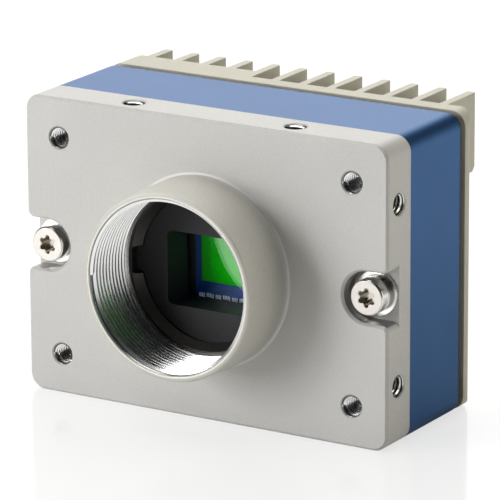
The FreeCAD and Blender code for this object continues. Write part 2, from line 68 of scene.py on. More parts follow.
half_width = plate_high.x
half_height = (plate_high.z - plate_low.z) / 2
axis_z = (plate_high.z + plate_low.z) / 2
face_y = screws_low.y
flange_y = plate_low.y
ring_front_y = ring_low.y
ring_radius = ring_high.x
seat_y = washers_high.y
head_radius = (screws_high.z - screws_low.z) / 2
screw_x = screws_high.x - head_radius

plate_points = [point.co for point in frame["nodes"]["front_plate"].data.vertices]
base_radius = max(math.hypot(at.x, at.z - axis_z) for at in plate_points if at.y < face_y - 0.5 * MM)

mounts = {mount["name"]: mount for mount in frame["record"]["mounts"]}
mount_radius = mounts["lens_thread"]["dims"]["r_mm"] * MM
front_pattern = mounts["front_holes"]["dims"]
hole_radius = front_pattern["hole_r_mm"] * MM
front_hole_x = front_pattern["spacing_x_mm"] * MM / 2
front_hole_z = front_pattern["spacing_y_mm"] * MM / 2
edge_hole_y = mounts["top_hole_right"]["pos_m"][1]
top_hole_x = mounts["top_hole_right"]["pos_m"][0]
side_hole_z = mounts["right_hole_upper"]["pos_m"][2] - axis_z
lock_pattern = mounts["jack_lock_holes"]


# ---- Sizes and colours that a user may change --------------------------------
class MountThreadSizes(bpy.types.PropertyGroup):
    pitch: FloatProperty(name="Pitch", description="Advance of one turn, 32 turns per inch",
                         default=25.4 * MM / 32, unit="LENGTH")
    depth: FloatProperty(name="Ridge depth", description="How far the ridge stands in from the wall",
                         default=0.47 * MM, unit="LENGTH")
    start: FloatProperty(name="Start", description="First ridge's distance behind the flange",
                         default=0.36 * MM, unit="LENGTH")
    steps: IntProperty(name="Steps", description="Faces in one turn", default=128)


class TappedThreadSizes(bpy.types.PropertyGroup):
    pitch: FloatProperty(name="Pitch", description="Advance of one turn, drawn a little coarse",
                         default=0.6 * MM, unit="LENGTH")
    depth: FloatProperty(name="Ridge depth", description="How far the ridge stands in from the wall",
                         default=0.27 * MM, unit="LENGTH")
    front_length: FloatProperty(name="Front length", description="Threaded length of the front holes",
                                default=4.3 * MM, unit="LENGTH")
    edge_length: FloatProperty(name="Edge length", description="Threaded length of the edge holes",
                               default=3.2 * MM, unit="LENGTH")
    lock_pitch: FloatProperty(name="Lock hole pitch", description="Advance of one turn of the M2 holes",
                              default=0.4 * MM, unit="LENGTH")
    lock_depth: FloatProperty(name="Lock hole ridge", description="Ridge depth in the M2 holes",
                              default=0.2 * MM, unit="LENGTH")
    lock_length: FloatProperty(name="Lock hole length", description="Threaded length of the M2 holes",
                               default=3.2 * MM, unit="LENGTH")
    steps: IntProperty(name="Steps", description="Faces in one turn", default=40)


class SensorSizes(bpy.types.PropertyGroup):
    area_width: FloatProperty(name="Imaging width", description="Width of the imaging area",
                              default=10.1 * MM, unit="LENGTH")
    area_height: FloatProperty(name="Imaging height", description="Height of the imaging area",
                               default=8.2 * MM, unit="LENGTH")
    area_rise: FloatProperty(name="Imaging rise", description="How far the filter layer stands up",
                             default=0.02 * MM, unit="LENGTH")
    wire_count: IntProperty(name="Bond wires", description="Bond wires along one edge", default=44)
    wire_pitch: FloatProperty(name="Bond wire pitch", description="Distance between bond wires",
                              default=0.25 * MM, unit="LENGTH")
    wire_width: FloatProperty(name="Bond wire width", description="Width of a bond wire",
                              default=0.10 * MM, unit="LENGTH")
    pad_inset: FloatProperty(name="Pad inset", description="Distance of the wires' pads from the die's edge",
                             default=0.25 * MM, unit="LENGTH")
    pad_stagger: FloatProperty(name="Pad stagger", description="How far some of the pads lie further in",
                               default=0.09 * MM, unit="LENGTH")


class FinishColours(bpy.types.PropertyGroup):
    plate: FloatVectorProperty(name="Plate", description="Bead-blasted front plate", subtype="COLOR",
                               default=(0.622, 0.615, 0.594))
    barrel: FloatVectorProperty(name="Barrel", description="Outside of the lens mount", subtype="COLOR",
                                default=(0.612, 0.603, 0.552))
    machined: FloatVectorProperty(name="Machined", description="Bare machined aluminium", subtype="COLOR",
                                  default=(0.86, 0.86, 0.85))
    cover: FloatVectorProperty(name="Cover", description="Cast rear cover", subtype="COLOR",
                               default=(0.585, 0.56, 0.47))
    sleeve: FloatVectorProperty(name="Sleeve", description="Blue anodised housing", subtype="COLOR",
                                default=(0.030, 0.104, 0.258))
    gasket: FloatVectorProperty(name="Gasket", description="Dark brown gasket", subtype="COLOR",
                                default=(0.085, 0.07, 0.055))
    ring: FloatVectorProperty(name="Ring", description="Dark anodised retaining ring", subtype="COLOR",
                              default=(0.095, 0.092, 0.086))
    mask: FloatVectorProperty(name="Mask", description="Black moulded mask", subtype="COLOR",
                              default=(0.018, 0.018, 0.021))
    imaging: FloatVectorProperty(name="Imaging area", description="Green imaging area", subtype="COLOR",
                                 default=(0.001, 0.80, 0.001))
    die: FloatVectorProperty(name="Die border", description="Deep blue border of the die",
                             subtype="COLOR", default=(0.003, 0.085, 0.40))
    steel: FloatVectorProperty(name="Steel", description="Bright screws and washers", subtype="COLOR",
                               default=(0.86, 0.85, 0.82))
    spring: FloatVectorProperty(name="Spring steel", description="Darker lock washers",
                                subtype="COLOR", default=(0.34, 0.33, 0.30))


class StudioSettings(bpy.types.PropertyGroup):
    view_from: FloatVectorProperty(name="View from", description="Where the view is taken from",
                                   subtype="TRANSLATION", unit="LENGTH",
                                   default=(0.3161, -0.5151, 0.1968))
    view_to: FloatVectorProperty(name="View to", description="The middle of the view",
                                 subtype="TRANSLATION", unit="LENGTH",
                                 default=(0.00518, -0.00729, 0.02477))
    view_roll: FloatProperty(name="Roll", description="Turn of the view about its own axis",
                             default=math.radians(-0.303), unit="ROTATION")
    lens: FloatProperty(name="Lens", description="Focal length in millimetres", default=317.46)
    key_power: FloatProperty(name="Key light", description="Power of the large soft light on the left",
                             default=4.9, unit="POWER")
    small_power: FloatProperty(name="Small light", description="Power of the small light above the key",
                               default=0.85, unit="POWER")
    top_power: FloatProperty(name="Top light", description="Power of the large light overhead",
                             default=7.0, unit="POWER")
    side_power: FloatProperty(name="Side light", description="Power of the light on the right",
                              default=1.42, unit="POWER")
    back_power: FloatProperty(name="Back light", description="Power of the light behind, on the left",
                              default=1.4, unit="POWER")
    ambient: FloatProperty(name="Ambient", description="Strength of the room's own light", default=0.02)


SETTINGS = {
    "mount_thread": MountThreadSizes,
    "tapped_thread": TappedThreadSizes,
    "sensor": SensorSizes,
    "finish_colours": FinishColours,
    "studio": StudioSettings,
}


# ---- Modelling helpers ---------------------------------------------------------
def clear_selection():
    """Leaves nothing selected, in object mode."""
    if bpy.context.object and bpy.context.object.mode != "OBJECT":
        bpy.ops.object.mode_set(mode="OBJECT")
    bpy.ops.object.select_all(action="DESELECT")


def make_active(piece):
    clear_selection()
    piece.select_set(True)
    bpy.context.view_layer.objects.active = piece
    return piece


def pick(piece, faces=None, points=None):
    """Selects, in edit mode, the faces or the points whose middle passes a test."""
    mesh = bmesh.from_edit_mesh(piece.data)
    for element in [*mesh.verts, *mesh.edges, *mesh.faces]:
        element.select_set(False)
    for face in mesh.faces if faces else ():
        if faces(face.calc_center_median()):
            face.select_set(True)
    for point in mesh.verts if points else ():
        if points(point.co):
            point.select_set(True)
    mesh.select_flush_mode()
    bmesh.update_edit_mesh(piece.data)


def edit(piece, mode="FACE"):
    make_active(piece)
    bpy.ops.object.mode_set(mode="EDIT")
    bpy.ops.mesh.select_mode(type=mode)


def leave_edit():
    bpy.ops.object.mode_set(mode="OBJECT")


def apply_modifiers(piece):
    make_active(piece)
    for modifier in list(piece.modifiers):
        bpy.ops.object.modifier_apply(modifier=modifier.name)


def settle(piece):
    """Puts the piece's place into its mesh, so its object sits at the origin."""
    make_active(piece)
    bpy.ops.object.transform_apply(location=True, rotation=True, scale=True)


def soften(piece, angle=30.0):
    make_active(piece)
    bpy.ops.object.shade_smooth_by_angle(angle=math.radians(angle))


def copy_of(piece, name):
    """A copy with its own mesh."""
    twin = piece.copy()
    twin.data = piece.data.copy()
    twin.name = name
    bpy.context.collection.objects.link(twin)
    return twin


def join(pieces, name):
    clear_selection()
    for piece in pieces:
        piece.select_set(True)
    bpy.context.view_layer.objects.active = pieces[0]
    if len(pieces) > 1:
        bpy.ops.object.join()
    pieces[0].name = name
    pieces[0].data.name = name
    return pieces[0]


def close_shell(piece):
    """Closes the open ends of a swept shape and turns its faces outwards."""
    edit(piece, "EDGE")
    bpy.ops.mesh.select_all(action="SELECT")
    bpy.ops.mesh.remove_doubles(threshold=1e-7)
    bpy.ops.mesh.select_all(action="DESELECT")
    bpy.ops.mesh.select_non_manifold(extend=False)
    bpy.ops.mesh.fill_holes(sides=8)
    bpy.ops.mesh.select_all(action="SELECT")
    bpy.ops.mesh.normals_make_consistent(inside=False)
    leave_edit()


def helical_ridge(name, wall_radius, depth, pitch, length, steps):
    """A thread's ridge on the wall of a hole along Z, whose first turn starts at z = 0."""
    clear_selection()
    embed = 0.06 * MM
    root_share = 0.9
    crest_share = 0.22
    middle = wall_radius + (embed - depth) / 2
    bpy.ops.mesh.primitive_plane_add(size=1, location=(middle, 0, 0), rotation=(math.pi / 2, 0, 0))
    ridge = bpy.context.object
    ridge.name = name
    ridge.scale = (depth + embed, root_share * pitch, 1)
    settle(ridge)
    edit(ridge, "VERT")
    pick(ridge, points=lambda at: at.x < middle)
    bpy.ops.transform.resize(value=(1, 1, crest_share), center_override=(wall_radius, 0, 0))
    leave_edit()
    turns = length / pitch
    screw = ridge.modifiers.new("thread", "SCREW")
    screw.axis = "Z"
    screw.angle = 2 * math.pi * turns
    screw.screw_offset = length
    screw.steps = int(steps * turns)
    screw.render_steps = int(steps * turns)
    screw.iterations = 1
    screw.use_smooth_shade = True
    apply_modifiers(ridge)
    close_shell(ridge)
    soften(ridge)
    return ridge


def aim_into_hole(ridge, mouth, inward):
    """Turns a ridge made along Z so that it runs from a hole's mouth along its axis."""
    turn = Vector(inward).to_track_quat("Z", "Y").to_matrix().to_4x4()
    ridge.matrix_world = Matrix.Translation(Vector(mouth)) @ turn
    settle(ridge)
    return ridge


def thread_holes(name, ridge, holes, material):
    """Puts a copy of a ridge into each hole, given as its mouth and inward direction, as one piece."""
    copies = [aim_into_hole(copy_of(ridge, ridge.name + "_copy"), mouth, inward) for mouth, inward in holes]
    bpy.data.objects.remove(ridge)
    return finish_piece(join(copies, name), material)


def finish_piece(piece, material):
    """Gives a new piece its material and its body."""
    piece.data.materials.clear()
    piece.data.materials.append(material)
    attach(piece, "root")
    return piece


# ---- Material helpers -------------------------------------------------------------
class Value:
    """A number that varies over a surface, wrapped so that it takes Python's operators."""

    def __init__(self, finish, socket):
        self.finish = finish
        self.socket = socket

    def maths(self, operation, *others):
        terms = dict(enumerate((self, *others)))
        return self.finish.node("Math", {"operation": operation}, terms)

    def __add__(self, other):
        return self.maths("ADD", other)

    def __sub__(self, other):
        return self.maths("SUBTRACT", other)

    def __mul__(self, other):
        return self.maths("MULTIPLY", other)

    def __rsub__(self, other):
        return self.finish.node("Math", {"operation": "SUBTRACT"}, {0: other, 1: self})

    __radd__ = __add__
    __rmul__ = __mul__

    def __abs__(self):
        return self.maths("ABSOLUTE")

    def reach(self, other):
        """The length of the line whose two sides are this value and another."""
        return (self * self + other * other).maths("SQRT")

    def ripple(self, length):
        """Even waves of one length, from 0 to 1."""
        return (self * (2 * math.pi / length)).maths("SINE") * 0.5 + 0.5

    def least(self, other):
        return self.maths("MINIMUM", other)

    def most(self, other):
        return self.maths("MAXIMUM", other)

    def step(self, low, high):
        """0 below low, 1 above high, and a smooth rise between."""
        settings = {"interpolation_type": "SMOOTHSTEP"}
        return self.finish.node("MapRange", settings, {0: self, 1: low, 2: high, 3: 0.0, 4: 1.0})

    def below(self, limit, blur):
        return 1 - self.step(limit - blur / 2, limit + blur / 2)

    def above(self, limit, blur):
        return self.step(limit - blur / 2, limit + blur / 2)


class Finish:
    """One material or world, with a short way to add nodes to it."""

    def __init__(self, name, kind="Material"):
        made = bpy.data.materials.new(name) if kind == "Material" else bpy.data.worlds.new(name)
        made.use_nodes = True
        self.made = made
        self.kind = kind
        self.tree = made.node_tree
        self.tree.nodes.clear()
        self.place = self.node("TexCoord", output="Object" if kind == "Material" else "Generated")

    def node(self, kind, settings=None, sockets=None, output=0):
        made = self.tree.nodes.new("ShaderNode" + kind)
        for key, setting in (settings or {}).items():
            setattr(made, key, setting)
        for key, value in (sockets or {}).items():
            if isinstance(value, Value):
                self.tree.links.new(value.socket, made.inputs[key])
            else:
                made.inputs[key].default_value = value
        return Value(self, made.outputs[output])

    def parts(self):
        """The x, y and z of the place, or of the direction in a world."""
        split = self.node("SeparateXYZ", sockets={0: self.place})
        return [Value(self, part) for part in split.socket.node.outputs]

    def axes(self):
        """The surface's own x, y and z in metres, with z measured from the lens axis."""
        x, y, z = self.parts()
        return x, y, z - axis_z

    def noise(self, size, detail=2.0, stretch=None, roughness=0.5):
        """A soft noise whose blobs are about one size across, from 0 to 1."""
        where = self.place
        if stretch:
            where = self.node("Mapping", sockets={"Vector": where, "Scale": stretch})
        sockets = {"Vector": where, "Scale": 1 / size, "Detail": detail, "Roughness": roughness}
        return self.node("TexNoise", sockets=sockets)

    def mix(self, share, first, second):
        """A colour between two others."""
        ends = [tuple(c) + (1,) if not isinstance(c, Value) else c for c in (first, second)]
        sockets = {0: share, 6: ends[0], 7: ends[1]}
        return self.node("Mix", {"data_type": "RGBA"}, sockets, output=2)

    def shade(self, colour, amount):
        """A colour made darker or lighter by a varying amount."""
        sockets = {0: colour if isinstance(colour, Value) else tuple(colour), 3: amount}
        return self.node("VectorMath", {"operation": "SCALE"}, sockets)

    def bump(self, height, distance, strength=1.0, edge=None):
        sockets = {"Height": height, "Distance": distance, "Strength": strength}
        if edge:
            sockets["Normal"] = edge
        return self.node("Bump", sockets=sockets)

    def round_edge(self, radius):
        """A normal that softens sharp edges."""
        return self.node("Bevel", {"samples": 4}, {"Radius": radius})

    def surface(self, colour, **sockets):
        """Ends the material with one surface shader."""
        values = {"Base Color": colour if isinstance(colour, Value) else tuple(colour) + (1,)}
        for key, value in sockets.items():
            values[key.replace("_", " ").title().replace("Ior", "IOR")] = value
        shader = self.node("BsdfPrincipled", sockets=values)
        return self.end(shader)

    def end(self, shader):
        output = self.tree.nodes.new("ShaderNodeOutput" + self.kind)
        self.tree.links.new(shader.socket, output.inputs["Surface"])
        return self.made


def paint(node, material):
    """Gives a CAD node a material in place of its plain one."""
    mesh = frame["nodes"][node].data
    mesh.materials.clear()
    mesh.materials.append(material)


def tapped_holes(x, y, z):
    """For the front, top and side holes: the distance from the axis and the depth below the mouth."""
    front = (abs(x) - front_hole_x).reach(abs(z) - front_hole_z)
    edge = y - edge_hole_y
    top = (abs(x) - top_hole_x).reach(edge)
    side = (abs(z) - side_hole_z).reach(edge)
    return (front, y - face_y), (top, half_height - abs(z)), (side, half_width - abs(x))


def inside_holes(holes, radius, blur, start):
    """1 on what lies within a radius of a tapped hole's axis and deeper than a start."""
    front, top, side = [
        reach.below(radius, blur) * depth.above(start, 0.08 * MM) * depth.below(TAP_DEPTH, 0.1 * MM)
        for reach, depth in holes]
    return front.most(top).most(side)


def bead_blasted_aluminium(colours):
    """The front plate: blasted all over, with its bore and hole mouths machined bright, painted shade in the
    slots and between the thread ridges, and painted highlights on the flange rim and the mount's foot.
    """
    finish = Finish("bead_blasted_aluminium")
    x, y, z = finish.axes()
    radius = x.reach(z)
    fine = finish.noise(0.3 * MM, 3.0, roughness=0.8)
    cloud = finish.noise(9 * MM, 3.0)
    specks = finish.noise(0.55 * MM, 4.0, roughness=0.65)

    bore = radius.below(mount_radius + 0.02 * MM, 0.04 * MM)
    # Painted highlight: a thin ring on the flange at the bore's mouth is painted lighter, standing in for
    # the light its edge catches; it is also more metallic and smoother.
    flange_width = 0.35 * MM
    flange = radius.below(mount_radius + flange_width, 0.12 * MM)
    flange = flange * y.below(flange_y + 0.12 * MM, 0.06 * MM)
    holes = tapped_holes(x, y, z)
    mouths = inside_holes(holes, hole_radius + 0.12 * MM, 0.05 * MM, -0.5 * MM)
    threaded = y.above(flange_y + 0.5 * MM, 0.2 * MM) * y.below(ring_front_y - 0.5 * MM, 0.1 * MM)
    # Painted shade: the bare walls between the thread ridges, in the bore and the tapped holes, are darkened
    # almost to black.
    shaded_walls = inside_holes(holes, hole_radius + 0.03 * MM, 0.02 * MM, TAP_START - 0.1 * MM)
    shaded_walls = shaded_walls.most(bore * threaded)
    # Painted shade: inside the slots round the screws the colour is darkened to half, as if in their own
    # shadow; there they are also more metallic and smoother.
    slot_radius = 5 * MM
    shaded_slots = (abs(x) - screw_x).reach(z).below(slot_radius, 0.2 * MM)
    shaded_slots = shaded_slots * y.above(face_y + 0.4 * MM, 0.2 * MM) * y.below(seat_y - 0.15 * MM, 0.1 * MM)
    # Painted highlight: a thin lighter line where the mount meets the face, standing in for the light that
    # the fillet at its foot catches.
    foot_width = 0.3 * MM
    foot_highlight = (1 - abs(radius - base_radius - foot_width / 2) * (1 / foot_width)).most(0.0)
    foot_highlight = foot_highlight * y.above(face_y - 0.9 * MM, 0.2 * MM) * y.below(face_y + 0.4 * MM, 0.2 * MM)
    bright = bore.most(mouths)

    tone = 0.80 + 0.10 * cloud + 0.34 * fine + 0.06 * specks + 0.3 * flange + 0.3 * foot_highlight
    tone = tone * (1 - 0.5 * shaded_slots)
    barrel = y.below(face_y - 0.6 * MM, 0.4 * MM)
    blasted = finish.shade(finish.mix(barrel, colours.plate, colours.barrel), tone)
    machined = finish.shade(colours.machined, (0.88 + 0.2 * fine) * (1 - 0.85 * shaded_walls))
    colour = finish.mix(bright, blasted, machined)
    dull = 0.47 + 0.10 * fine - 0.12 * flange - 0.15 * shaded_slots
    roughness = dull * (1 - bright) + (0.2 + 0.08 * cloud) * bright
    metallic = 0.15 + 0.2 * flange + 0.5 * shaded_slots + 0.8 * bright
    grain = fine * (1 - bright)
    normal = finish.bump(grain, 0.02 * MM, 0.6, finish.round_edge(0.12 * MM))
    return finish.surface(colour, roughness=roughness, metallic=metallic, normal=normal)


def cast_cover_aluminium(colours):
    """The rear cover: a fine, matt casting skin."""
    finish = Finish("cast_cover_aluminium")
    fine = finish.noise(0.2 * MM, 3.0, roughness=0.7)
    pits = finish.noise(0.7 * MM, 4.0, roughness=0.6)
    cloud = finish.noise(7 * MM, 2.0)
    colour = finish.shade(colours.cover, 0.88 + 0.12 * cloud + 0.12 * fine + 0.06 * pits)
    roughness = 0.48 + 0.14 * fine
    normal = finish.bump(fine * 0.6 + pits * 0.4, 0.02 * MM, 0.5, finish.round_edge(0.15 * MM))
    return finish.surface(colour, roughness=roughness, metallic=0.15, normal=normal)


def blue_anodised_aluminium(colours):
    """The housing: dyed and sealed, over a finely blasted skin."""
    finish = Finish("blue_anodised_aluminium")
    fine = finish.noise(0.14 * MM, 3.0, roughness=0.75)
    cloud = finish.noise(6 * MM, 3.0)
    colour = finish.shade(colours.sleeve, 0.82 + 0.16 * cloud + 0.26 * fine)
    roughness = 0.36 + 0.12 * fine
    normal = finish.bump(fine, 0.012 * MM, 0.5)
    return finish.surface(colour, roughness=roughness, metallic=0.9, normal=normal)


def gasket_rubber(colours):
    finish = Finish("gasket_rubber")
    fine = finish.noise(0.3 * MM, 4.0, roughness=0.7)
    colour = finish.shade(colours.gasket, 0.7 + 0.6 * fine)
    normal = finish.bump(fine, 0.03 * MM, 0.6)
    return finish.surface(colour, roughness=0.62 + 0.2 * fine, normal=normal)


def grey_anodised_ring(colours):
    """The retaining ring: dark anodised, with turning marks about the lens axis."""
    finish = Finish("grey_anodised_ring")
    x, y, z = finish.axes()
    radius = x.reach(z)
    marks = radius.ripple(0.09 * MM)
    fine = finish.noise(0.2 * MM, 3.0, roughness=0.7)
    # Painted highlight: the outer front edge is painted two and a half times lighter, standing in for the
    # light caught by its chamfer.
    edge = radius.above(ring_radius - 0.3 * MM, 0.12 * MM) * y.below(ring_front_y + 0.2 * MM, 0.1 * MM)
    colour = finish.shade(colours.ring, (0.55 + 0.2 * marks + 0.25 * fine) * (1 + 1.5 * edge))
    normal = finish.bump(marks * 0.6 + fine * 0.4, 0.008 * MM, 0.5, finish.round_edge(0.1 * MM))
    return finish.surface(colour, roughness=0.28 + 0.14 * fine, metallic=0.85, normal=normal)


def black_mask_plastic(colours):
    finish = Finish("black_mask_plastic")
    fine = finish.noise(0.17 * MM, 4.0, roughness=0.8)
    speck = finish.noise(0.35 * MM, 2.0)
    colour = finish.shade(colours.mask, 0.6 + 0.8 * speck)
    normal = finish.bump(fine, 0.03 * MM, 0.7, finish.round_edge(0.12 * MM))
    return finish.surface(colour, roughness=0.5 + 0.16 * fine, normal=normal)


def cover_glass(colours):
    """Clear glass: mostly see-through, with a sharp reflection."""
    finish = Finish("cover_glass")
    cloud = finish.noise(5 * MM, 2.0)
    return finish.surface((0.93, 0.98, 0.95), roughness=0.01 + 0.01 * cloud, metallic=1.0,
                          alpha=0.065 + 0.01 * cloud)


def silicon_die(colours):
    """The die's dark blue border, with faint rows of circuitry and a faint painted glow."""
    finish = Finish("silicon_die")
    rows = finish.axes()[2].ripple(0.12 * MM)
    blocks = finish.noise(0.5 * MM, 2.0, stretch=(0.4, 1, 1))
    colour = finish.shade(colours.die, 0.7 + 0.35 * rows + 0.5 * blocks)
    # Painted glow: the border gives off a little light of its own colour, lifting it out of the mount's
    # shade.
    return finish.surface(colour, roughness=0.3 + 0.06 * rows, metallic=0.2,
                          emission_color=colour, emission_strength=0.03)


def imaging_filter(colours):
    """The imaging area: colour filters and tiny lenses, seen as an even green, with a faint painted glow."""
    finish = Finish("imaging_filter")
    x, _, z = finish.axes()
    columns = x.ripple(0.11 * MM)
    rows = z.ripple(0.11 * MM)
    colour = finish.shade(colours.imaging, 0.93 + 0.08 * columns * rows)
    # Painted glow: the green gives off a little light of its own, standing in for light that barely reaches
    # it in the mount's shade.
    return finish.surface(colour, roughness=0.46 + 0.04 * columns, metallic=0.9,
                          emission_color=colour, emission_strength=0.02)


def dark_ceramic():
    finish = Finish("dark_ceramic")
    fine = finish.noise(0.2 * MM, 4.0)
    colour = finish.shade((0.03, 0.03, 0.034), 0.7 + 0.6 * fine)
    return finish.surface(colour, roughness=0.45 + 0.15 * fine)


def polished_steel(colours):
    """The screws: bright and satin, darker and browner inside the socket."""
    finish = Finish("polished_steel")
    x, y, z = finish.axes()
    socket_radius = 1.5 * MM
    socket = (abs(x) - screw_x).reach(z).below(socket_radius, 0.1 * MM)
    socket = socket * y.above(face_y + 0.12 * MM, 0.1 * MM)
    fine = finish.noise(0.2 * MM, 4.0, roughness=0.7)
    cloud = finish.noise(1.2 * MM, 3.0)
    front = y.below(face_y + 0.1 * MM, 0.1 * MM)
    tone = (0.84 + 0.12 * fine + 0.12 * cloud) * (1 - (0.1 + 0.3 * fine) * front)
    warm = finish.mix(front, colours.steel, (0.87, 0.83, 0.77))
    steel = finish.mix(socket * 0.6, warm, (0.36, 0.29, 0.20))
    colour = finish.shade(steel, tone)
    roughness = 0.12 + 0.10 * fine + 0.05 * cloud + 0.12 * front
    normal = finish.bump(fine * 0.5 + cloud * 0.5, 0.012 * MM, 0.5, finish.round_edge(0.1 * MM))
    return finish.surface(colour, roughness=roughness, metallic=1.0, normal=normal)


def bright_steel(colours):
    finish = Finish("bright_steel")
    fine = finish.noise(0.25 * MM, 3.0)
    colour = finish.shade(colours.steel, 0.85 + 0.2 * fine)
    normal = finish.bump(fine, 0.01 * MM, 0.4, finish.round_edge(0.08 * MM))
    return finish.surface(colour, roughness=0.16 + 0.1 * fine, metallic=1.0, normal=normal)


def spring_steel(colours):
    finish = Finish("spring_steel")
    fine = finish.noise(0.25 * MM, 4.0, roughness=0.7)
    colour = finish.shade(colours.spring, 0.7 + 0.5 * fine)
    normal = finish.bump(fine, 0.02 * MM, 0.5, finish.round_edge(0.1 * MM))
    return finish.surface(colour, roughness=0.26 + 0.16 * fine, metallic=1.0, normal=normal)


def board_green():
    """Solder-masked laminate: tracks show as slightly lighter, raised lines."""
    finish = Finish("board_green")
    tracks = finish.noise(1.1 * MM, 1.0, stretch=(1, 1, 0.25)).step(0.52, 0.55)
    weave = finish.noise(0.3 * MM, 3.0)
    colour = finish.mix(tracks, (0.010, 0.085, 0.035), (0.018, 0.135, 0.055))
    colour = finish.shade(colour, 0.85 + 0.3 * weave)
    normal = finish.bump(tracks, 0.02 * MM, 0.5)
    return finish.surface(colour, roughness=0.3 + 0.1 * weave, normal=normal, coat_weight=0.3,
                          coat_roughness=0.15)


def moulded_black(name, tone, grain):
    """Black moulded plastic or epoxy with a fine skin."""
    finish = Finish(name)
    fine = finish.noise(grain, 4.0, roughness=0.7)
    colour = finish.shade((tone, tone, tone * 1.05), 0.7 + 0.6 * fine)
    normal = finish.bump(fine, 0.02 * MM, 0.5, finish.round_edge(0.1 * MM))
    return finish.surface(colour, roughness=0.38 + 0.2 * fine, normal=normal)


def bond_wire():
    """Fine aluminium wire, with a bluish-white painted glow that keeps it bright in the dark of the mount.
    """
    finish = Finish("bond_wire")
    fine = finish.noise(0.4 * MM, 2.0)
    # Painted glow and highlight: the bluish-white colour also glows, standing in for glints on the wires.
    colour = finish.shade((0.80, 0.88, 1.0), 0.7 + 0.3 * fine)
    return finish.surface(colour, roughness=0.3 + 0.1 * fine, metallic=0.3, emission_color=colour,
                          emission_strength=0.12)


def plated_metal(name, base, dullness):
    """Plated sheet or turned metal with light handling marks."""
    finish = Finish(name)
    lines = finish.noise(0.35 * MM, 3.0, stretch=(1, 0.12, 1))
    fine = finish.noise(0.2 * MM, 3.0)
    colour = finish.shade(base, 0.8 + 0.2 * lines + 0.15 * fine)
    normal = finish.bump(lines, 0.01 * MM, 0.4, finish.round_edge(0.08 * MM))
    return finish.surface(colour, roughness=dullness + 0.15 * lines, metallic=1.0, normal=normal)


def mount_thread_aluminium(colours):
    """The lens mount's thread: freshly cut and bright, with painted shade at the roots."""
    finish = Finish("mount_thread_aluminium")
    x, _, z = finish.axes()
    root = x.reach(z).above(mount_radius - 0.08 * MM, 0.06 * MM)
    return cut_thread(finish, colours, 0.7 * root)


def tapped_thread_aluminium(colours):
    """The tapped holes' threads: bright crests over roots darkened with painted shade."""
    finish = Finish("tapped_thread_aluminium")
    (front, _), (top, _), (side, _) = tapped_holes(*finish.axes())
    root = front.least(top).least(side).above(0.94 * hole_radius, 0.05 * hole_radius)
    return cut_thread(finish, colours, 0.85 * root)


def cut_thread(finish, colours, root):
    """Bare cut metal with fine marks across the plate's depth, with painted shade where root is."""
    cloud = finish.noise(2.5 * MM, 2.0)
    marks = finish.noise(0.12 * MM, 1.0, stretch=(0.008, 1, 0.008))
    colour = finish.shade(colours.machined, (0.82 + 0.1 * cloud + 0.35 * marks) * (1 - root))
    return finish.surface(colour, roughness=0.15 + 0.16 * marks + 0.2 * root, metallic=1.0)


def pad_rubber():
    finish = Finish("pad_rubber")
    fine = finish.noise(0.4 * MM, 4.0)
    colour = finish.shade((0.45, 0.50, 0.55), 0.8 + 0.3 * fine)
    return finish.surface(colour, roughness=0.7 + 0.15 * fine)


def clear_light_pipe():
    finish = Finish("clear_light_pipe")
    cloud = finish.noise(0.8 * MM, 2.0)
    colour = finish.shade((0.80, 0.86, 0.84), 0.92 + 0.1 * cloud)
    return finish.surface(colour, roughness=0.08 + 0.06 * cloud, transmission_weight=0.6, ior=1.5)


def led_package():
    finish = Finish("led_package")
    fine = finish.noise(0.3 * MM, 3.0)
    colour = finish.shade((0.85, 0.84, 0.72), 0.9 + 0.12 * fine)
    return finish.surface(colour, roughness=0.3 + 0.1 * fine)


# ---- Operators: one for each piece or group of like pieces --------------------------
class CAMERA_PART_OT_mount_thread(bpy.types.Operator):
    """Cut the lens mount's thread as a fine helical ridge"""
    bl_idname = "camera_part.mount_thread"
    bl_label = "Lens mount thread"

    def execute(self, context):
        sizes = context.scene.mount_thread
        end_gap = 0.46 * sizes.pitch
        length = ring_front_y - flange_y - sizes.start - end_gap
        ridge = helical_ridge("lens_mount_thread", mount_radius, sizes.depth, sizes.pitch, length,
                              sizes.steps)
        aim_into_hole(ridge, (0, flange_y + sizes.start, axis_z), (0, 1, 0))
        finish_piece(ridge, bpy.data.materials["mount_thread_aluminium"])
        return {"FINISHED"}


